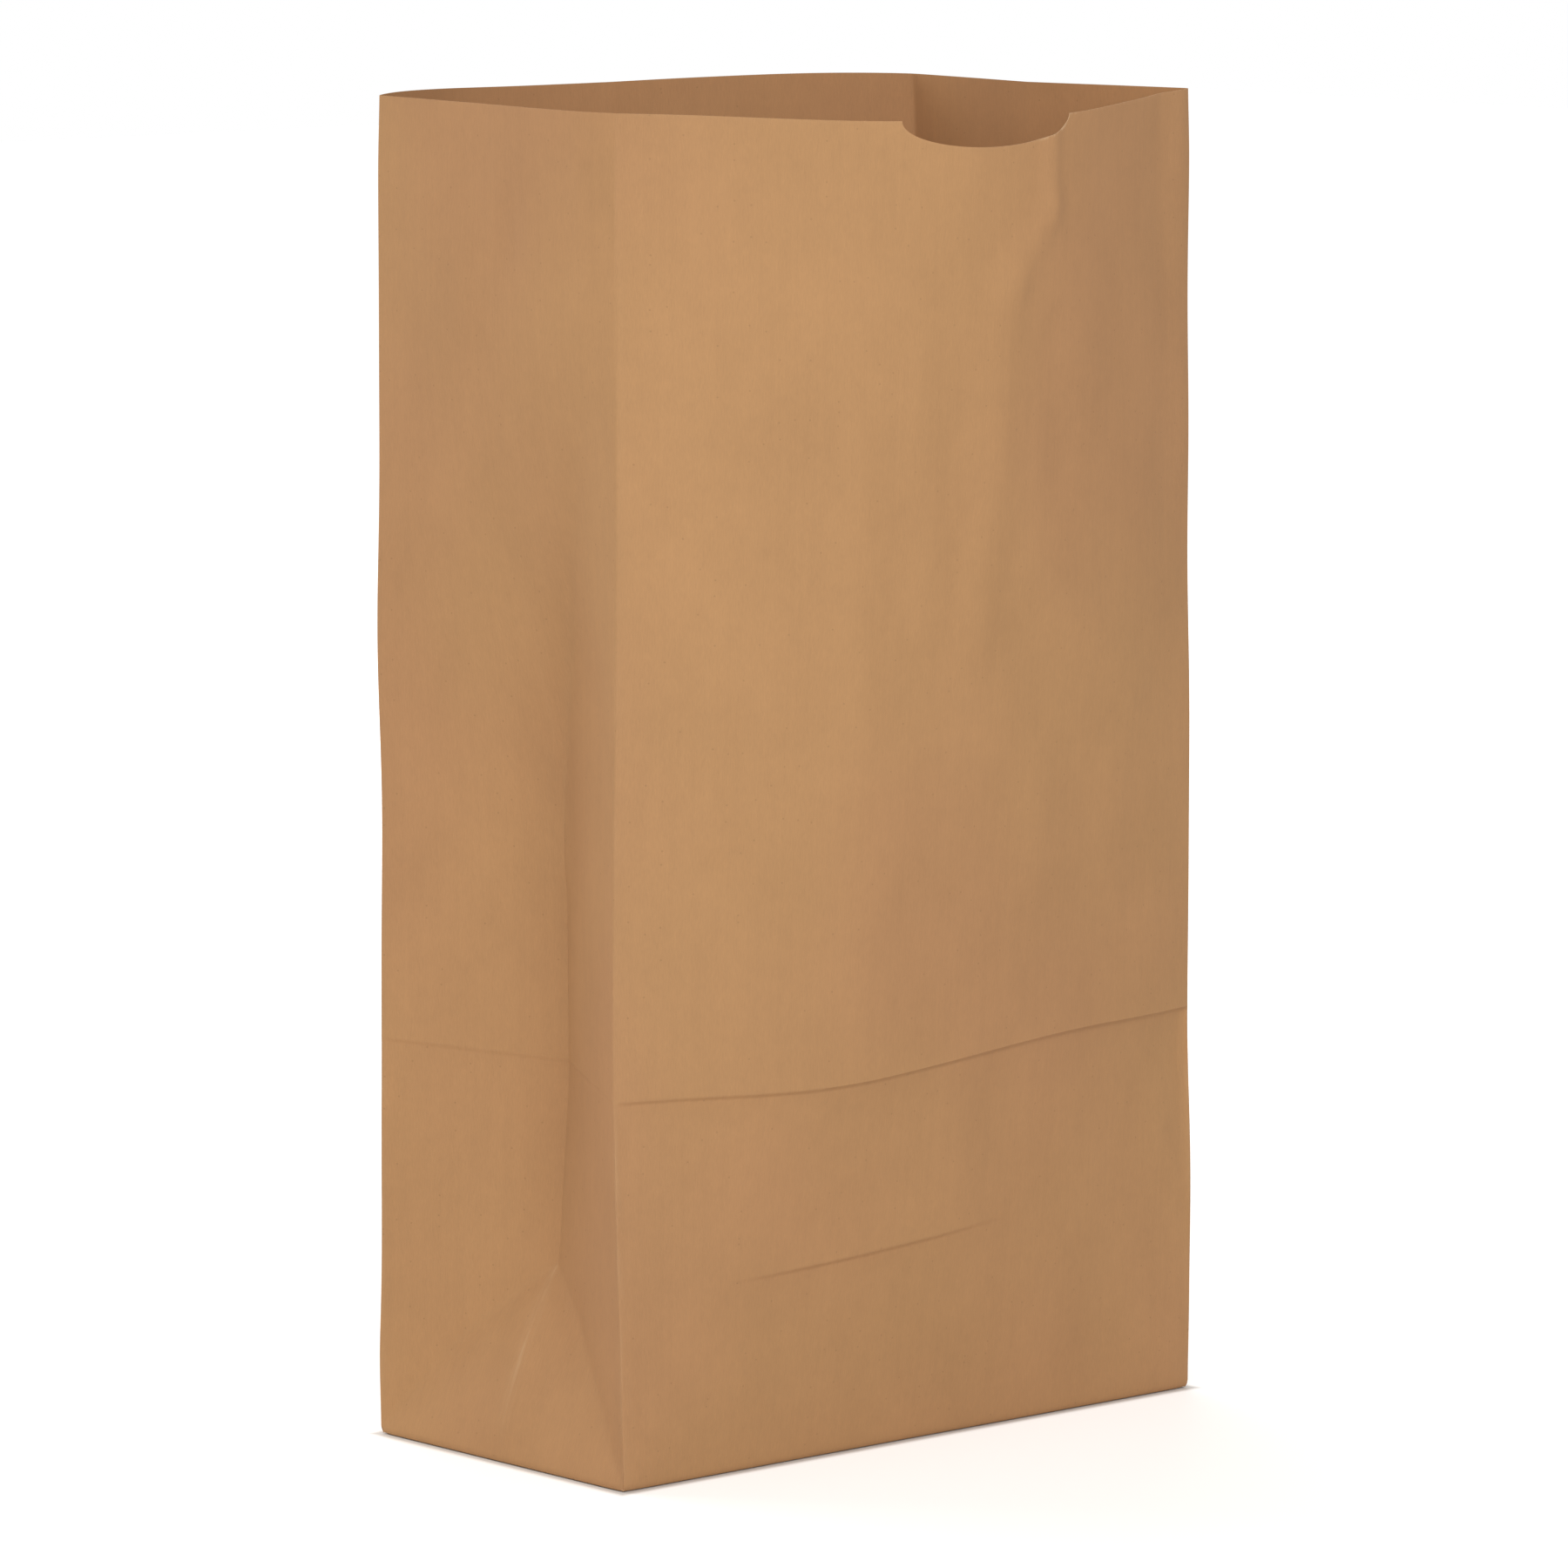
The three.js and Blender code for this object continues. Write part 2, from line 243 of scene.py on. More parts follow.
# Where the inside, the floor, the flaps and the cut edges lie on the paper's own map, in metres, and
# how many points the flaps have across and along
INSIDE_PLACE = 0.5
FLOOR_PLACE = (0.87, 0.12)
OUTER_FLAP_GRID = (25, 11)
OUTER_FLAP_PLACE = (0.125, 0.6)
OUTER_FLAP_SIZE = 0.125
OUTER_FLAP_STEP = 0.1
INNER_FLAP_GRID = (13, 9)
INNER_FLAP_PLACE = (0.7, 0.2)
INNER_FLAP_SIZE = 0.1
UNDERSIDE_STEP = 0.3
MOUTH_EDGE_PLACE = 0.45
FLAP_EDGE_PLACE = 0.95

# Colours, linear
KRAFT_YELLOW = (0.512, 0.287, 0.132, 1)
KRAFT_PINK = (0.492, 0.267, 0.128, 1)
# The paler colour of worn paper, also used for the painted highlight at the notch's right end
KRAFT_WEAR_AND_HIGHLIGHT = (0.600, 0.385, 0.215, 1)
KRAFT_CUT = (0.660, 0.450, 0.270, 1)
# How strongly the wear and the painted highlight pale the paper
WEAR_AND_HIGHLIGHT_STRENGTH = 0.4

# The paper's noises: how many to the metre across and up the paper, detail, and turn in radians
NOISES = {
    "cloud": (30, 20, 3, 0),
    "mottle": (210, 150, 3, 0),
    "streak": (620, 16, 2, 0),
    "fibre": (2600, 330, 2, 0.5),
    "crossed": (2400, 360, 2, -0.6),
    "warm": (7, 5, 2, 0),
    "rubbed_and_highlighted": (500, 60, 3, 0),
}
NOISE_ROUGHNESS = 0.55

# How much each kind of grain darkens or lightens the paper, and the middle of each kind
GRAIN_MOST = {"Cloud": 0.075, "Streak": 0.026, "Fibre": 0.085, "Speck": 0.16}
GRAIN_MIDDLE = 0.5
FIBRE_MIDDLE = 0.58

# The share of each kind of grain in the tone and in the relief
TONE_SHARE = {"cloud": 2, "mottle": 1, "streak": 2, "fibre": 2, "speck": -1}
HEIGHT_SHARE = {"fibre": 0.5, "streak": 0.25, "mottle": 0.5}

# The specks: cells to the metre, a speck's edge and middle in its cell, and how few cells have one
SPECK_CELLS = 210
SPECK_SIZE = (0.09, 0.03)
SPECK_CHANCE = 0.9

# What part of the noises turns the paper pink, and what part of the wear and the painted highlight
# shows
WARM_SPREAD = (0.3, 0.7)
RUBBED_AND_HIGHLIGHTED_SPREAD = (0.3, 0.75)

# The paper's surface
ROUGHNESS = 0.74
ROUGHNESS_GRAIN = 0.12
SPECULAR = 0.3
BUMP_STRENGTH = 0.35
BUMP_DISTANCE = 0.25 * MM

# Light
WORLD_LIGHT = 0.42
WORLD_COLOUR = (1, 0.94, 0.865, 1)
FLOOR_GLOW = {"near": 0.5, "far": 0.75, "from": 0.3, "to": 2.0}
CONTACT_WIDTH = 4 * MM
FLOOR_HALF_SIZE = 6
FLOOR_LEVEL = -0.05 * MM
FLOOR_COLOUR = (0.82, 0.82, 0.82, 1)
FLOOR_ROUGHNESS = 0.9
FLOOR_SPECULAR = 0.1
WHITE = (1, 1, 1)
WARM = (1, 0.93, 0.84)

# The soft lamps: name, azimuth, elevation, watts, colour
LAMPS = [
    ("left_lamp", -158, 25, 22, WARM),
    ("front_lamp", -33, 25, 31, WHITE),
    ("back_lamp", 150, 38, 17, WHITE),
]
LAMP_DISTANCE = 2.5
LAMP_SIZE = 1.6

# The photograph's camera, found from the bag's corners
CAMERA_AZIMUTH = -41.58
CAMERA_ELEVATION = 7.59
CAMERA_DISTANCE = 2.771
CAMERA_LENS = 195.9
SENSOR = 36.0
AIM_ASIDE = -1.84 * MM
AIM_HEIGHT = 207.13 * MM


def ease(t):
    """Smooth step: 3 t^2 - 2 t^3 between 0 and 1."""
    t = np.clip(t, 0, 1)
    return t * t * (3 - 2 * t)


def lerp(a, b, t):
    """Straight blend from a to b."""
    return a + (b - a) * t


def hump(x, middle, half):
    """A cosine hump, 1 at middle and 0 from half away."""
    return 0.5 + 0.5 * np.cos(np.pi * np.clip((x - middle) / half, -1, 1))


# The shape of the bag

def waist(h):
    """Rises smoothly from 0 at the base to 1 at the waist and falls back to 0 higher up."""
    return np.where(h < WAIST_HEIGHT, ease(h / WAIST_HEIGHT),
                    1 - ease((h - WAIST_HEIGHT) / (WAIST_FADE - WAIST_HEIGHT)))


def fold(name, h):
    """Plan position of an upright fold at paper height h: base corner + lean * h + waist pull."""
    lean = h / PANEL_HEIGHT
    pull = waist(h)
    place = []
    for i, half in enumerate((PANEL_WIDTH / 2, GUSSET_WIDTH / 2)):
        moved = MOUTH_SHIFT[name][i] * lean + WAIST_SHIFT[name][i] * pull
        place.append(CORNERS[name][i] * half + MM * moved)
    return place


def bell(t, middle):
    """Two half parabolas that meet 1 high at the share middle: 1 - u^2."""
    u = np.where(t < middle, (middle - t) / middle, (t - middle) / (1 - middle))
    return 1 - u ** 2


def bow_out(bow, t, h):
    """How far a panel stands out: straight up to the mark and straight on to the mouth, as a bell
    across."""
    above = np.clip((h - MARK_HEIGHT) / (PANEL_HEIGHT - MARK_HEIGHT), 0, 1)
    below_mark = bow["mark"] * h / MARK_HEIGHT
    size = np.where(h < MARK_HEIGHT, below_mark, lerp(bow["mark"], bow["mouth"], above))
    return size * bell(t, lerp(bow["middle_at_mark"], bow["middle_at_mouth"], above))


def bowed_plan(start, end, bow, t, h):
    """A bowed panel from above: the straight line between two folds plus the bow, square to it."""
    ax, ay = fold(start, h)
    bx, by = fold(end, h)
    out = bow_out(bow, t, h) / np.hypot(bx - ax, by - ay)
    return lerp(ax, bx, t) + (by - ay) * out, lerp(ay, by, t) - (bx - ax) * out


def push_in(push, h):
    """How far the middle of a gusset is pushed in at paper height h."""
    low = lerp(push["apex"], push["mark"], np.clip((h - APEX) / (MARK_HEIGHT - APEX), 0, 1))
    up = ease((h - PUSH_HOLD) / (PUSH_END - PUSH_HOLD))
    return np.where(h < MARK_HEIGHT, low, lerp(push["mark"], push["mouth"], up))


def gusset_plan(side, t, h):
    """A gusset from above, t from its front fold to its back fold: a tent pushed in along its
    valley, and below the apex the flat foot triangle with a slight ridge down its middle."""
    left = side == "L"
    push = LEFT_PUSH if left else RIGHT_PUSH
    up = ease((h - PUSH_HOLD) / (PUSH_END - PUSH_HOLD))
    valley = lerp(0.5, VALLEY_DRIFT if left else 0.5, up)
    ax, ay = fold("F" + side, h)
    bx, by = fold("B" + side, h)
    tent = np.minimum(t / valley, (1 - t) / (1 - valley))
    rise = np.clip(h / APEX, 0, 1)
    ridge = np.clip(1 - np.abs(t - 0.5) / (1 - rise / 2), 0, 1)
    foot = push["apex"] * rise - FOOT_RIDGE * ridge * 4 * rise * (1 - rise)
    tent_depth = push_in(push, h) * tent
    depth = np.where(h < APEX, np.minimum(tent_depth, foot), tent_depth)
    return lerp(ax, bx, t) + (depth if left else -depth), lerp(ay, by, t)


def climb(x, y, h):
    """Heights up each column of paper: every step keeps its length, so one that leans climbs less."""
    run = np.diff(h, axis=0)
    sideways = np.hypot(np.diff(x, axis=0), np.diff(y, axis=0))
    rises = np.sqrt(np.maximum(run ** 2 - sideways ** 2, 0))
    return FLOOR + np.vstack([np.zeros((1, h.shape[1])), np.cumsum(rises, axis=0)])


# The grid on the paper: distances round the bag and heights up it

def half_gusset():
    """Distances from a fold to the gusset's middle. The foot's rows stand at the same heights, so the
    45 degree folds of the foot run from corner to corner of the grid."""
    even = np.linspace(FOLD_COLUMNS[-1], APEX - VALLEY_COLUMN, GUSSET_HALF_COLUMNS + 2)[1:]
    return np.concatenate([FOLD_COLUMNS, even, [APEX]])


def paper_rows():
    """Paper heights of the rows, closer together at the foot, at the marks and at the mouth."""
    heights = [half_gusset()]
    below = APEX
    for stop, count in ROWS:
        heights.append(np.linspace(below, stop, count + 1)[1:])
        below = stop
    return np.concatenate(heights)


def side_columns(length, count):
    """Distances from an upright fold inwards: close together at the fold, then even."""
    return np.concatenate([FOLD_COLUMNS, np.linspace(FOLD_COLUMNS[-1], length, count + 1)[1:]])


def front_columns():
    """Distances across the front. The notch's span is sampled by a cosine, closer at its ends."""
    side = side_columns((PANEL_WIDTH - NOTCH_WIDTH) / 2, FRONT_SIDE_COLUMNS)
    notch = -np.cos(np.linspace(0, np.pi, NOTCH_COLUMNS + 1)) * NOTCH_WIDTH / 2 + PANEL_WIDTH / 2
    return np.concatenate([side[:-1], notch, PANEL_WIDTH - side[:0:-1][1:]])


def back_columns():
    """Distances across the back, with the lap's two edges as columns of their own."""
    low, high = (PANEL_WIDTH - LAP_WIDTH) / 2, (PANEL_WIDTH + LAP_WIDTH) / 2
    side = side_columns(low - LAP_SLOPE, BACK_HALF_COLUMNS)
    middle = np.linspace(low, high, LAP_COLUMNS)
    return np.concatenate([side, middle, [high + LAP_STEP], PANEL_WIDTH - side[:0:-1]])


def gusset_columns():
    """Distances across a gusset, the same from both folds."""
    half = half_gusset()
    return np.concatenate([half, GUSSET_WIDTH - half[:0:-1][1:]])


def notch_depth(s):
    """Depth of the thumb notch at distance s from the middle: a superellipse."""
    u = np.clip(np.abs(s) / (NOTCH_WIDTH / 2), 0, 1)
    return NOTCH_DEPTH * (1 - u ** NOTCH_ROUNDNESS) ** (1 / NOTCH_ROUNDNESS)


# The relief in the paper, as distances outwards

def mark_section(d):
    """The pressed mark in section, d above it: LIP exp(-d / fade) above; below, the lip less a quick
    drop that heals slowly, less a hollow of u exp(1 - u)."""
    below = np.maximum(-d, 0)
    u = below / HOLLOW_DEPTH_AT
    lip = LIP * np.exp(-np.maximum(d, 0) / LIP_FADE)
    drop = DROP * ease(below / DROP_WIDTH)
    return (lip - drop) * np.exp(-below / DROP_FADE) - HOLLOW * u * np.exp(1 - u)


def ridge(a, h, start, end, half, height):
    """A soft ridge along a straight line: height times exp(-(distance / half)^2)."""
    (ax, ay), (bx, by) = start, end
    dx, dy = (bx - ax) * MM, (by - ay) * MM
    along = ((a - ax * MM) * dx + (h - ay * MM) * dy) / (dx * dx + dy * dy)
    along = np.clip(along, 0, 1)
    gap = np.hypot(a - ax * MM - along * dx, h - ay * MM - along * dy)
    return height * MM * np.exp(-(gap / (half * MM)) ** 2)


def ridges(a, h, lines):
    """The sum of some ridges, faded out at the foot, where the paper is glued flat."""
    return sum(ridge(a, h, *line) for line in lines) * ease(h / RIDGE_FADE)


def fall(a, h):
    """Where the front falls away beside its right fold: -depth exp(-(distance / width)^2), none at the
    fold itself, and growing from halfway up to the mouth."""
    up = ease((h - FALL_FROM) / (PANEL_HEIGHT - FALL_FROM))
    at_fold = ease((PANEL_WIDTH - a) / FALL_EDGE)
    return -FALL_DEPTH * np.exp(-((a - FALL_PLACE) / FALL_WIDTH) ** 2) * at_fold * up


def from_seam(around):
    """Distance to the near fold, where the way round the bag begins and ends."""
    return np.minimum(around, GIRTH - around)


def waves(around, h):
    """Slight waves: a sum of sines over the sheet, of seeded lengths, directions and phases."""
    low = (WAVE_LENGTHS[0], -WAVE_TURN, 0)
    high = (WAVE_LENGTHS[1], WAVE_TURN, 2 * np.pi)
    drawn = np.random.default_rng(WAVE_SEED).uniform(low, high, (WAVE_COUNT, 3))
    sines = np.zeros_like(h)
    for length, turn, phase in drawn:
        along = around * np.cos(turn) + h * np.sin(turn)
        sines += np.sin(2 * np.pi * along / (length * MM) + phase)
    return WAVE_HEIGHT * sines * ease(h / WAVE_FADE) * ease(from_seam(around) / SEAM_FADE)


def short_mark(a, h):
    """The short mark low on the front: the same section round a slanting line, faded at both ends,
    and how worn the paper is on it."""
    (ax, ay), (bx, by) = SHORT_MARK["from"], SHORT_MARK["to"]
    share = (a - ax) / (bx - ax)
    line = lerp(ay, by, share)
    ends = SHORT_MARK["ends"]
    window = ease(share / ends) * (1 - ease((share - 1 + ends) / ends))
    worn = window * np.exp(-((h - line) / MARK_WORN_WIDTH) ** 2)
    return SHORT_MARK["strength"] * window * mark_section(h - line), worn


def lap_rise(a):
    """The paper and its glue across the lap, sloping up over the hidden edge and stepping off at the
    free one."""
    low, high = (PANEL_WIDTH - LAP_WIDTH) / 2, (PANEL_WIDTH + LAP_WIDTH) / 2
    up = ease((a - low + LAP_SLOPE) / LAP_SLOPE)
    return LAP_RISE * np.where(a > high + LAP_STEP / 2, 0, up)


def paper_heights(face, start, end, t, h):
    """Heights up the paper of the grid's points: the rows follow the crooked mark, and are straight at
    the apex and from twice the mark's height up."""
    skew = lerp(MARK_RISE[start], MARK_RISE[end], t)
    if face == "front":
        skew = skew + MARK_WAVE["most"] * hump(t, MARK_WAVE["middle"], MARK_WAVE["half"])
    fade = np.where(h < MARK_HEIGHT, (h - APEX) / (MARK_HEIGHT - APEX), 2 - h / MARK_HEIGHT)
    return h + skew * np.clip(fade, 0, 1)


def worn_folds(h, to_fold, strength):
    """How worn the paper is along its upright folds, most so low down, and on the mark."""
    rubbed_and_highlighted = lerp(FOLD_WORN_LOW, FOLD_WORN_HIGH, ease((h - FOLD_WORN_FROM) / FOLD_WORN_OVER))
    on_mark = MARK_WORN * strength * np.exp(-np.abs(h - MARK_HEIGHT) / MARK_WORN_WIDTH)
    return np.maximum(rubbed_and_highlighted * np.exp(-to_fold / FOLD_WORN_WIDTH), on_mark)


def front_face(start, end, a, h, paper):
    """The front's x, y, z, relief, wear with its painted highlight, paper heights and plan. Its rows
    dip under the notch, which the plan at the end leaves out."""
    t = a / PANEL_WIDTH
    dip = ease((h - (PANEL_HEIGHT - NOTCH_REACH)) / NOTCH_REACH)
    paper = paper - notch_depth(a - PANEL_WIDTH / 2) * dip
    x, y = bowed_plan(start, end, FRONT_BOW, t, paper)
    z = climb(x, y, paper) - FRONT_SINK * bell(t, SINK_MIDDLE) * paper / PANEL_HEIGHT
    short, short_worn = short_mark(a, paper)
    relief = short + ridges(a, paper, FRONT_RIDGES) + fall(a, paper)
    # The front's top edge: paler as a cut edge all along, and a painted highlight at the notch's right
    # end, where the curled edge catches the light
    rim_worn = EDGE_WORN + PUNCHED_WEAR_AND_HIGHLIGHT * hump(a, PUNCHED_PLACE, PUNCHED_HALF)
    on_rim = np.where(h > PANEL_HEIGHT - RIM / 2, rim_worn, 0)
    worn = np.maximum(SHORT_MARK_WORN * short_worn, on_rim)
    return x, y, z, relief, worn, paper, bowed_plan(start, end, FRONT_BOW, t, h)


def back_face(start, end, a, paper):
    """The same of the back, with its glued lap."""
    x, y = bowed_plan(start, end, BACK_BOW, a / PANEL_WIDTH, paper)
    relief = lap_rise(a) + ridges(a, paper, BACK_RIDGES)
    return x, y, climb(x, y, paper), relief, np.zeros_like(a), paper, (x, y)


def gusset_face(side, start, end, a, h, paper):
    """The same of a gusset, with the creases of its foot triangle."""
    t = a / GUSSET_WIDTH
    x, y = gusset_plan(side, t if side == "R" else 1 - t, paper)
    z = lerp(climb(*fold(start, paper), paper), climb(*fold(end, paper), paper), t)
    from_front = a if side == "R" else GUSSET_WIDTH - a
    near = from_front < APEX
    to_fold = np.minimum(a, GUSSET_WIDTH - a)
    pressed = np.exp(-((to_fold - h) / LEG_WIDTH) ** 2) * hump(h, LEG_MIDDLE, LEG_HALF)
    relief = ridges(from_front, paper, RIGHT_RIDGES if side == "R" else LEFT_RIDGES)
    relief = relief - LEG_DEPTH * pressed * np.where(near, 1, LEG_FAR_SHARE)
    leg_worn = np.where(near, LEG_WORN["near"], LEG_WORN["far"])
    on_legs = np.exp(-np.abs(to_fold - h) / FOLD_WORN_WIDTH) * leg_worn
    on_valley = np.exp(-(APEX - to_fold) / FOLD_WORN_WIDTH)
    on_foot = np.maximum(on_legs, FOOT_MIDDLE_WORN * on_valley * ease(h / FOOT_MIDDLE_OVER))
    return x, y, z, relief, np.where(h < APEX, on_foot, VALLEY_WORN * on_valley), paper, (x, y)


def bag_surface():
    """The outer skin as arrays [row, column]: x, y, z, the relief, how worn the paper is with the
    painted highlight at the notch, the distance round the bag, up the paper and to the nearest upright
    fold, and the plan that the paper's way inward is taken from, which the notch doesn't shift."""
    rows = paper_rows()
    gusset = gusset_columns()
    faces = [("front", "FL", "FR", front_columns(), PANEL_WIDTH),
             ("R", "FR", "BR", gusset, GUSSET_WIDTH),
             ("back", "BR", "BL", back_columns(), PANEL_WIDTH),
             ("L", "BL", "FL", gusset, GUSSET_WIDTH)]
    parts = []
    before = 0
    for face, start, end, across, width in faces:
        a, h = np.meshgrid(across, rows)
        t = a / width
        to_fold = np.minimum(a, width - a)
        paper = paper_heights(face, start, end, t, h)
        if face == "front":
            made = front_face(start, end, a, h, paper)
        elif face == "back":
            made = back_face(start, end, a, paper)
        else:
            made = gusset_face(face, start, end, a, h, paper)
        x, y, z, relief, worn, paper, plan = made
        z = z + lerp(MOUTH_RISE[start], MOUTH_RISE[end], t) * paper / PANEL_HEIGHT
        strength = lerp(*MARK_STRENGTH[face], t)
        pressed = mark_section(h - MARK_HEIGHT) * strength * ease(h / APEX) * ease(to_fold / MARK_FADE)
        relief = pressed + relief + waves(before + a, paper)
        worn = np.maximum(worn, worn_folds(h, to_fold, strength))
        parts.append((x, y, z, relief, worn, before + a, paper, to_fold, *plan))
        before += width
    return [np.hstack(grids) for grids in zip(*parts)]


def inward(x, y):
    """Unit vectors in the plan square to the paper, pointing into the bag, mitred at the folds:
    the sum of the two neighbouring normals over 1 plus their dot product."""
    dx = np.roll(x, -1, axis=1) - x
    dy = np.roll(y, -1, axis=1) - y
    length = np.maximum(np.hypot(dx, dy), LEAST_STEP)
    bx, by = -dy / length, dx / length
    ax, ay = np.roll(bx, 1, axis=1), np.roll(by, 1, axis=1)
    mitre = 1 / np.maximum(1 + ax * bx + ay * by, LEAST_MITRE)
    return (ax + bx) * mitre, (ay + by) * mitre


def rounding(to_fold, around, h):
    """How far the paper is drawn in beside an upright fold: share r exp(-distance / r), with r larger
    at the mouth, most so at the near fold, and at the base, and at the heel a quarter round."""
    mouth = MOUTH_RADIUS + NEAR_MOUTH_RADIUS * ease(1 - from_seam(around) / NEAR_REACH)
    r = FOLD_RADIUS + mouth * ease((h - (PANEL_HEIGHT - MOUTH_STRETCH)) / MOUTH_STRETCH)
    r = r + BASE_RADIUS * ease(1 - h / BASE_STRETCH)
    heel = HEEL_DEPTH * np.clip(1 - h / HEEL, 0, 1) ** 2
    return FOLD_DRAW * r * np.exp(-to_fold / r) + heel


def softened(grid, near):
    """Each column near a fold moved halfway to the mean of its two neighbours, twice over."""
    for _ in range(2):
        mean = (np.roll(grid, 1, axis=1) + np.roll(grid, -1, axis=1)) / 2
        grid = np.where(near, (grid + mean) / 2, grid)
    return grid


# Meshes

def make_mesh(name, points, faces, **on_points):
    """A mesh object at the origin. faces holds pairs: corner numbers [face, corner], and the place of
    each corner on the paper and whether it is a cut edge, [face, corner, 3]."""
    mesh = bpy.data.meshes.new(name)
    polygons = [face for corners, _ in faces for face in corners.tolist()]
    mesh.from_pydata(np.asarray(points).tolist(), [], polygons)
    place = np.concatenate([values.reshape(-1, 3) for _, values in faces])
    mesh.uv_layers.new(name="paper").data.foreach_set("uv", place[:, :2].ravel())
    mesh.attributes.new("cut", "FLOAT", "CORNER").data.foreach_set("value", place[:, 2].copy())
    for key, values in on_points.items():
        attribute = mesh.attributes.new(key, "FLOAT", "POINT")
        attribute.data.foreach_set("value", np.asarray(values, dtype=float).ravel())
    mesh.shade_smooth()
    mesh.set_sharp_from_angle(angle=SHARP_ANGLE)
    piece = bpy.data.objects.new(name, mesh)
    bpy.context.scene.collection.objects.link(piece)
    return piece


def placed(u, v, cut=0.0):
    """Places on the paper with their mark of a cut edge, as one array with three values at the end."""
    u, v = np.broadcast_arrays(u, v)
    return np.stack([u, v, np.full(u.shape, cut)], -1)


def corners_of(grid):
    """The four corners of every cell of a grid, anticlockwise, as one array [row, column, 4, ...]."""
    return np.stack([grid[:-1, :-1], grid[:-1, 1:], grid[1:, 1:], grid[1:, :-1]], 2)


def skin_points(x, y, z, relief, around, up, to_fold, plan_x, plan_y):
    """The points of the outer skin, and of the inner skin one paper thickness in, [row, column, 3]."""
    nx, ny = inward(plan_x, plan_y)
    out = relief - rounding(to_fold, around, up)
    near = to_fold < SOFTENED_WITHIN
    x, y = softened(x - nx * out, near), softened(y - ny * out, near)
    inner_z = z.copy()
    inner_z[0] += PAPER
    return np.stack([x, y, z], -1), np.stack([x + nx * PAPER, y + ny * PAPER, inner_z], -1)


def skin_faces(cells, outside, inside, skin):
    """Faces of both skins, the inner ones turned round. The gussets' cells are split along the
    diagonals that run with the 45 degree folds of the foot, one way before the valley and the other
    way after it."""
    front, gusset, back = len(front_columns()), len(gusset_columns()), len(back_columns())
    column = np.arange(cells.shape[1])
    place = (column - front) % (gusset + back)
    first_half = (column >= front) & (place < gusset // 2)
    second_half = (column >= front) & (place < gusset) & ~first_half
    faces = []
    for which, split in ((~(first_half | second_half), [[0, 1, 2, 3]]),
                         (first_half, [[0, 1, 2], [0, 2, 3]]),
                         (second_half, [[0, 1, 3], [1, 2, 3]])):
        for pick in split:
            size = len(pick)
            turned = pick[::-1]
            faces.append((cells[:, which][:, :, pick].reshape(-1, size),
                          outside[:, which][:, :, pick].reshape(-1, size, 3)))
            faces.append((cells[:, which][:, :, turned].reshape(-1, size) + skin,
                          inside[:, which][:, :, turned].reshape(-1, size, 3)))
    return faces


def floor_faces(outer, skin):
    """The floor as two fans of triangles round its middle points, one facing down and one up."""
    n = outer.shape[1]
    i = np.arange(n)
    k = (i + 1) % n
    edge = outer[0, :, :2]
    fan = np.stack([np.zeros_like(edge), edge[k], edge[i]], 1) + FLOOR_PLACE
    turned = fan[:, [0, 2, 1]] + [0, INSIDE_PLACE / 2]
    return [(np.stack([np.full(n, 2 * skin), k, i], -1), placed(fan[..., 0], fan[..., 1])),
            (np.stack([np.full(n, 2 * skin + 1), skin + i, skin + k], -1),
             placed(turned[..., 0], turned[..., 1]))]


def build_bag():
    """The bag: outer skin, inner skin one paper thickness in, mouth edge, and floor inside and out."""
    x, y, z, relief, worn, around, up, to_fold, plan_x, plan_y = bag_surface()
    outer, inner = skin_points(x, y, z, relief, around, up, to_fold, plan_x, plan_y)
    m, n = x.shape
    skin = m * n
    middle = [[0, 0, FLOOR], [0, 0, FLOOR + PAPER]]
    points = np.vstack([outer.reshape(-1, 3), inner.reshape(-1, 3), middle])

    numbers = np.arange(skin).reshape(m, n)
    cells = corners_of(np.hstack([numbers, numbers[:, :1]]))
    round_bag = np.hstack([around, np.full((m, 1), GIRTH)])
    height = np.hstack([up, up[:, :1]])
    outside = corners_of(placed(round_bag, height))
    inside = corners_of(placed(round_bag, height + INSIDE_PLACE))
    lap_edge = PANEL_WIDTH + GUSSET_WIDTH + (PANEL_WIDTH + LAP_WIDTH) / 2
    outside[:, np.argmin(np.abs(around[0] - lap_edge)), :, 2] = 1
    faces = skin_faces(cells, outside, inside, skin)

    i = np.arange(n)
    k = (i + 1) % n
    top = skin - n
    edge = np.stack([top + i, top + k, skin + top + k, skin + top + i], -1)
    along = round_bag[-1][np.stack([i, i + 1, i + 1, i], -1)]
    faces.append((edge, placed(along, MOUTH_EDGE_PLACE, 1.0)))
    faces += floor_faces(outer, skin)
    # The wear and the painted highlight on each point, fainter on the inside
    all_worn = np.concatenate([worn.ravel(), worn.ravel() * INSIDE_WEAR_AND_HIGHLIGHT, [0, 0]])
    return make_mesh("kraft_bag", points, faces, worn=all_worn)


def plate(name, x, y, low, high, u, v):
    """A flat piece of paper: the grid x, y at two heights, joined all round by cut edges."""
    m, n = x.shape
    levels = [np.stack([x, y, np.full_like(x, z)], -1).reshape(-1, 3) for z in (high, low)]
    numbers = np.arange(m * n).reshape(m, n)
    cells, places = corners_of(numbers).reshape(-1, 4), corners_of(placed(u, v)).reshape(-1, 4, 3)
    rim = np.concatenate([numbers[0], numbers[1:, -1], numbers[-1, -2::-1], numbers[-2:0:-1, 0]])
    ahead = np.roll(rim, -1)
    edge = np.stack([ahead, rim, rim + m * n, ahead + m * n], -1)
    on_edge = np.full(edge.shape, FLAP_EDGE_PLACE)
    faces = [(cells, places), (cells[:, ::-1] + m * n, places[:, ::-1] + [UNDERSIDE_STEP, 0, 0]),
             (edge, placed(on_edge, on_edge, 1.0))]
    return make_mesh(name, np.concatenate(levels), faces, worn=np.zeros(2 * m * n))


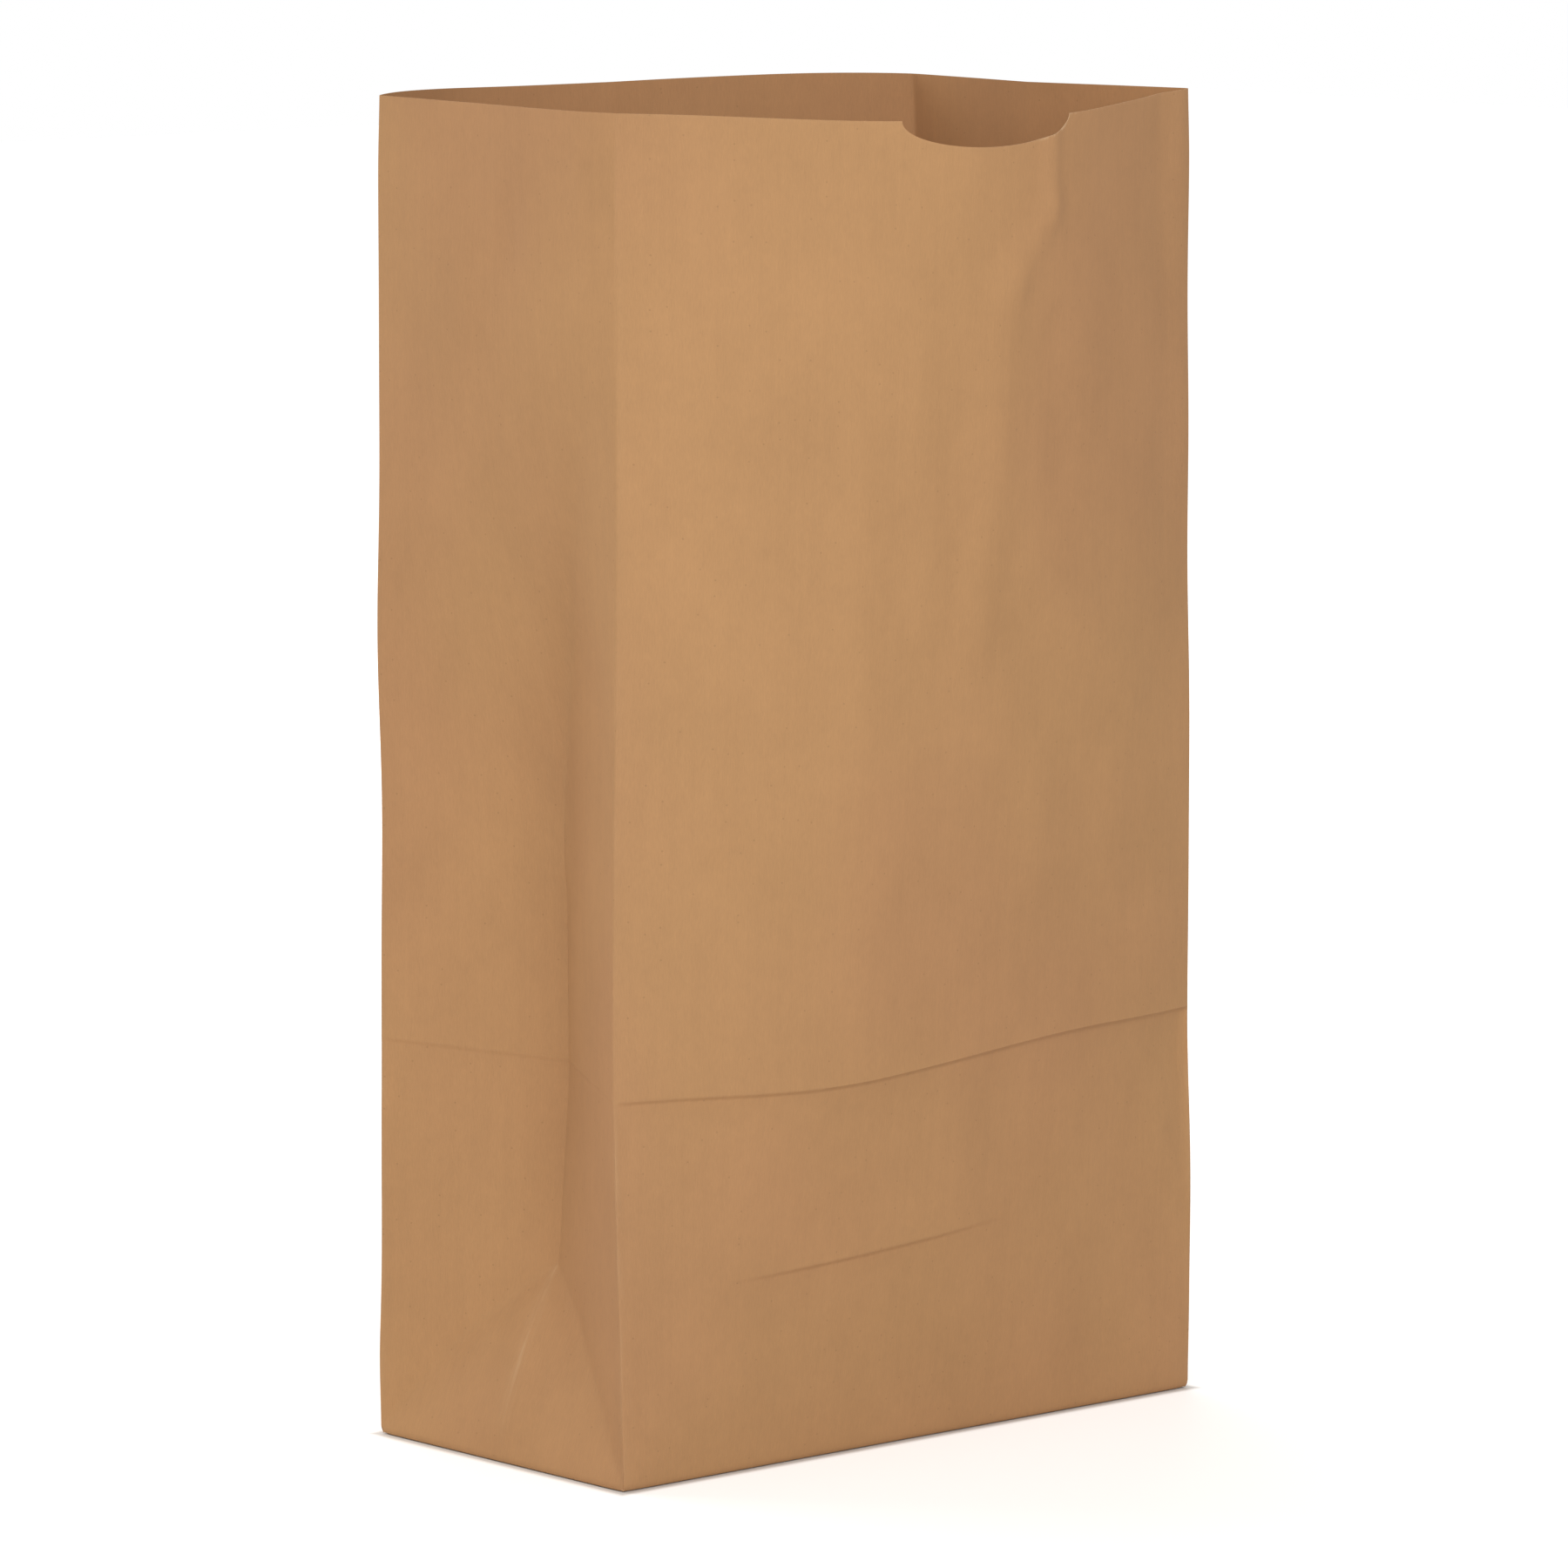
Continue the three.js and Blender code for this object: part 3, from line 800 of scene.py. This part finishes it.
def flap_grid(counts):
    """A flap's grid: shares from -1 to 1 across it and from 0 at its fold to 1 at its end."""
    return np.meshgrid(np.linspace(-1, 1, counts[0]), np.linspace(0, 1, counts[1]))


def bottom_flap(name, side, low, high):
    """A front or back bottom flap: from its wall towards the other, its sides running in at 45
    degrees."""
    across, along = flap_grid(OUTER_FLAP_GRID)
    back = HEEL_DEPTH + FLAP_SETBACK + FLAP * along
    x = -side * across * (PANEL_WIDTH / 2 - back)
    y = side * (GUSSET_WIDTH / 2 - back)
    u = OUTER_FLAP_PLACE[0] + across * OUTER_FLAP_SIZE
    v = OUTER_FLAP_PLACE[1] + along * FLAP + side * OUTER_FLAP_STEP
    return plate(name, x, y, low, high, u, v)


def inner_flap(name, side):
    """A gusset's bottom flap, a plain rectangle inside on the floor."""
    across, along = flap_grid(INNER_FLAP_GRID)
    x = side * (PANEL_WIDTH / 2 - HEEL_DEPTH - PAPER - FLAP * along)
    y = side * across * (GUSSET_WIDTH / 2 - HEEL_DEPTH - PAPER)
    u = INNER_FLAP_PLACE[0] + across * INNER_FLAP_SIZE
    v = INNER_FLAP_PLACE[1] + along * FLAP
    return plate(name, x, y, FLOOR + PAPER, FLOOR + 2 * PAPER, u, v)


# Materials

def node(tree, kind, values=None, **settings):
    """Adds a node, sets its options, and fills or links its inputs by name or number."""
    made = tree.nodes.new(kind)
    for key, value in settings.items():
        setattr(made, key, value)
    for key, value in (values or {}).items():
        if isinstance(value, bpy.types.NodeSocket):
            tree.links.new(value, made.inputs[key])
        else:
            made.inputs[key].default_value = value
    return made


def maths(tree, operation, *values):
    """The result of a maths node, from numbers or from other nodes' outputs."""
    return node(tree, "ShaderNodeMath", dict(enumerate(values)), operation=operation).outputs[0]


def mixed(tree, share, first, second):
    """A colour between two: the first at share 0, the second at share 1."""
    made = node(tree, "ShaderNodeMix", {"Factor": share, 6: first, 7: second}, data_type="RGBA")
    return made.outputs[2]


def paper_noise(tree, place, kind):
    """Noise over the paper, stretched: the place is turned and multiplied before it is looked up."""
    across, up, detail, turn = NOISES[kind]
    turned = node(tree, "ShaderNodeMapping", {"Vector": place, "Rotation": (0, 0, turn),
                                              "Scale": (across, up, 1)})
    made = node(tree, "ShaderNodeTexNoise", {"Vector": turned.outputs[0], "Scale": 1.0,
                                             "Detail": detail, "Roughness": NOISE_ROUGHNESS},
                noise_dimensions="2D")
    return made.outputs["Fac"]


def total(tree, parts, start=0.0):
    """start plus each value times its weight."""
    value = start
    for socket, weight in parts:
        value = maths(tree, "MULTIPLY_ADD", socket, weight, value)
    return value


def spread(tree, value, low, high):
    """Stretches low to 0 and high to 1, smoothly, and stops there."""
    made = node(tree, "ShaderNodeMapRange", {"Value": value, "From Min": low, "From Max": high},
                interpolation_type="SMOOTHSTEP")
    return made.outputs["Result"]


def specks_in(tree, place):
    """Rare small dots: one cell in ten of a random pattern has a dot in it."""
    cell = node(tree, "ShaderNodeTexVoronoi", {"Vector": place, "Scale": SPECK_CELLS,
                                               "Randomness": 1.0}, voronoi_dimensions="2D")
    dot = spread(tree, cell.outputs["Distance"], *SPECK_SIZE)
    chance = node(tree, "ShaderNodeSeparateColor", {"Color": cell.outputs["Color"]}).outputs[0]
    return maths(tree, "MULTIPLY", dot, maths(tree, "GREATER_THAN", chance, SPECK_CHANCE))


def kraft_grain():
    """The grain of kraft paper over its own place on the sheet: clouds, mottle, upright streaks from
    the paper machine, crossed fibres and rare dark specks, as a tone, a warm mask and a height."""
    tree = bpy.data.node_groups.new("kraft_grain", "ShaderNodeTree")
    tree.interface.new_socket("Place", in_out="INPUT", socket_type="NodeSocketVector")
    for label, most in GRAIN_MOST.items():
        socket = tree.interface.new_socket(label, in_out="INPUT", socket_type="NodeSocketFloat")
        socket.default_value = most
    for label in ("Tone", "Warm", "Height"):
        tree.interface.new_socket(label, in_out="OUTPUT", socket_type="NodeSocketFloat")
    given = tree.nodes.new("NodeGroupInput").outputs
    place = given["Place"]
    noises = {kind: paper_noise(tree, place, kind) for kind in ("cloud", "mottle", "streak")}
    noises["fibre"] = maths(tree, "MAXIMUM", paper_noise(tree, place, "fibre"),
                            paper_noise(tree, place, "crossed"))
    parts = []
    for kind, label, middle in (("cloud", "Cloud", GRAIN_MIDDLE), ("mottle", "Cloud", GRAIN_MIDDLE),
                                ("streak", "Streak", GRAIN_MIDDLE), ("fibre", "Fibre", FIBRE_MIDDLE)):
        centred = maths(tree, "SUBTRACT", noises[kind], middle)
        parts.append((maths(tree, "MULTIPLY", centred, given[label]), TONE_SHARE[kind]))
    specks = maths(tree, "MULTIPLY", specks_in(tree, place), given["Speck"])
    parts.append((specks, TONE_SHARE["speck"]))
    warm = spread(tree, paper_noise(tree, place, "warm"), *WARM_SPREAD)
    height = total(tree, [(noises[kind], share) for kind, share in HEIGHT_SHARE.items()])
    end = tree.nodes.new("NodeGroupOutput")
    tree.links.new(total(tree, parts, 1.0), end.inputs["Tone"])
    tree.links.new(warm, end.inputs["Warm"])
    tree.links.new(height, end.inputs["Height"])
    return tree


def kraft_material():
    """Unprinted kraft paper: two close browns mixed in clouds, the grain's tone over them, paler along
    worn folds and on cut edges and with a painted highlight at the notch's right end, matt, with a
    faint grain in relief."""
    material = bpy.data.materials.new("kraft_paper")
    material.use_nodes = True
    tree = material.node_tree
    shader = tree.nodes["Principled BSDF"]
    place = node(tree, "ShaderNodeUVMap", uv_map="paper").outputs["UV"]
    grain = node(tree, "ShaderNodeGroup", node_tree=kraft_grain())
    tree.links.new(place, grain.inputs["Place"])
    brown = mixed(tree, grain.outputs["Warm"], KRAFT_YELLOW, KRAFT_PINK)
    toned = node(tree, "ShaderNodeVectorMath", {0: brown, 3: grain.outputs["Tone"]}, operation="SCALE")
    # The wear mask also carries the painted highlight at the notch's right end
    worn = node(tree, "ShaderNodeAttribute", attribute_name="worn").outputs["Fac"]
    broken = spread(tree, paper_noise(tree, place, "rubbed_and_highlighted"), *RUBBED_AND_HIGHLIGHTED_SPREAD)
    rubbed_and_highlighted = maths(tree, "MULTIPLY", maths(tree, "MULTIPLY", worn, broken), WEAR_AND_HIGHLIGHT_STRENGTH)
    with_wear_and_highlight = mixed(tree, rubbed_and_highlighted, toned.outputs[0], KRAFT_WEAR_AND_HIGHLIGHT)
    cut = node(tree, "ShaderNodeAttribute", attribute_name="cut").outputs["Fac"]
    tree.links.new(mixed(tree, cut, with_wear_and_highlight, KRAFT_CUT), shader.inputs["Base Color"])
    height = grain.outputs["Height"]
    tree.links.new(total(tree, [(height, ROUGHNESS_GRAIN)], ROUGHNESS), shader.inputs["Roughness"])
    bump = node(tree, "ShaderNodeBump", {"Height": height, "Strength": BUMP_STRENGTH,
                                         "Distance": BUMP_DISTANCE})
    tree.links.new(bump.outputs["Normal"], shader.inputs["Normal"])
    shader.inputs["Specular IOR Level"].default_value = SPECULAR
    return material


def dress(piece, material):
    """Gives a piece its material and its body, and hides the imported paper_bag part."""
    piece.data.materials.append(material)
    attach(piece, "root")
    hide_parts("paper_bag")
    return piece


# The studio

def add_floor():
    """A plain pale floor. Seen by the camera it glows a little, more so far away where the lamps don't
    reach, so that it is white away from the bag and still shows the bag's shadow. It doesn't glow
    under the bag, where the thin line of contact stays dark."""
    size = FLOOR_HALF_SIZE
    x, y = np.array([-size, size, size, -size]), np.array([-size, -size, size, size])
    corners = np.stack([x, y, np.full(4, FLOOR_LEVEL)], -1)
    square = np.array([[0, 1, 2, 3]])
    floor = make_mesh("studio_floor", corners, [(square, placed(x[square], y[square]))])
    material = bpy.data.materials.new("studio_floor")
    material.use_nodes = True
    tree = material.node_tree
    shader = tree.nodes["Principled BSDF"]
    shader.inputs["Base Color"].default_value = FLOOR_COLOUR
    shader.inputs["Roughness"].default_value = FLOOR_ROUGHNESS
    shader.inputs["Specular IOR Level"].default_value = FLOOR_SPECULAR
    shader.inputs["Emission Color"].default_value = (*WHITE, 1)
    place = tree.nodes.new("ShaderNodeTexCoord").outputs["Object"]
    away = node(tree, "ShaderNodeVectorMath", {0: place}, operation="LENGTH").outputs["Value"]
    glow = node(tree, "ShaderNodeMapRange", {"Value": away, "From Min": FLOOR_GLOW["from"],
                                             "From Max": FLOOR_GLOW["to"],
                                             "To Min": FLOOR_GLOW["near"],
                                             "To Max": FLOOR_GLOW["far"]}).outputs["Result"]
    aside = node(tree, "ShaderNodeVectorMath", {0: place}, operation="ABSOLUTE").outputs[0]
    apart = node(tree, "ShaderNodeSeparateXYZ", {0: aside}).outputs
    beside = maths(tree, "SUBTRACT", apart[0], PANEL_WIDTH / 2)
    before = maths(tree, "SUBTRACT", apart[1], GUSSET_WIDTH / 2)
    shown = spread(tree, maths(tree, "MAXIMUM", beside, before), 0, CONTACT_WIDTH)
    strength = seen(tree, maths(tree, "MULTIPLY", glow, shown))
    tree.links.new(strength, shader.inputs["Emission Strength"])
    floor.data.materials.append(material)


def seen(tree, most, least=0.0):
    """most for camera, glossy and transmission rays, least for all others."""
    rays = tree.nodes.new("ShaderNodeLightPath").outputs
    either = maths(tree, "MAXIMUM", rays["Is Camera Ray"], rays["Is Glossy Ray"])
    every = maths(tree, "MAXIMUM", either, rays["Is Transmission Ray"])
    made = node(tree, "ShaderNodeMapRange", {"Value": every, "To Min": least, "To Max": most})
    return made.outputs["Result"]


def way_out(azimuth, elevation):
    """The unit vector out from the bag, by angles in degrees. Azimuth 0 is -Y and 90 is +X."""
    a, e = math.radians(azimuth), math.radians(elevation)
    return Vector((math.sin(a) * math.cos(e), -math.cos(a) * math.cos(e), math.sin(e)))


def add_lamp(name, azimuth, elevation, power, colour):
    """A square soft lamp that looks at the bag's middle."""
    way = way_out(azimuth, elevation)
    data = bpy.data.lights.new(name, "AREA")
    data.size = LAMP_SIZE
    data.energy = power
    data.color = colour
    lamp = bpy.data.objects.new(name, data)
    bpy.context.scene.collection.objects.link(lamp)
    lamp.location = Vector((0, 0, PANEL_HEIGHT / 2)) + way * LAMP_DISTANCE
    lamp.rotation_euler = way.to_track_quat("Z", "Y").to_euler()


def add_camera():
    """The photograph's camera: azimuth, elevation and distance round a point near the bag's middle."""
    back = way_out(CAMERA_AZIMUTH, CAMERA_ELEVATION)
    right = way_out(CAMERA_AZIMUTH + 90, 0)
    data = bpy.data.cameras.new("photo_camera")
    data.lens = CAMERA_LENS
    data.sensor_width = SENSOR
    camera = bpy.data.objects.new("photo_camera", data)
    bpy.context.scene.collection.objects.link(camera)
    camera.location = right * AIM_ASIDE + Vector((0, 0, AIM_HEIGHT)) + back * CAMERA_DISTANCE
    camera.rotation_euler = back.to_track_quat("Z", "Y").to_euler()
    bpy.context.scene.camera = camera


def add_world():
    """Plain soft light from all round, white where it is seen."""
    world = bpy.data.worlds.new("studio")
    world.use_nodes = True
    tree = world.node_tree
    background = tree.nodes["Background"]
    rays = tree.nodes.new("ShaderNodeLightPath").outputs
    tint = mixed(tree, rays["Is Camera Ray"], WORLD_COLOUR, (*WHITE, 1))
    tree.links.new(tint, background.inputs["Color"])
    tree.links.new(seen(tree, 1.0, WORLD_LIGHT), background.inputs["Strength"])
    bpy.context.scene.world = world


add_camera()
add_world()
add_floor()
for lamp in LAMPS:
    add_lamp(*lamp)
kraft = kraft_material()
dress(build_bag(), kraft)
dress(bottom_flap("back_bottom_flap", 1, 0, PAPER), kraft)
dress(bottom_flap("front_bottom_flap", -1, PAPER, FLOOR), kraft)
dress(inner_flap("left_inner_flap", -1), kraft)
dress(inner_flap("right_inner_flap", 1), kraft)
bpy.context.scene.view_settings.view_transform = "Standard"
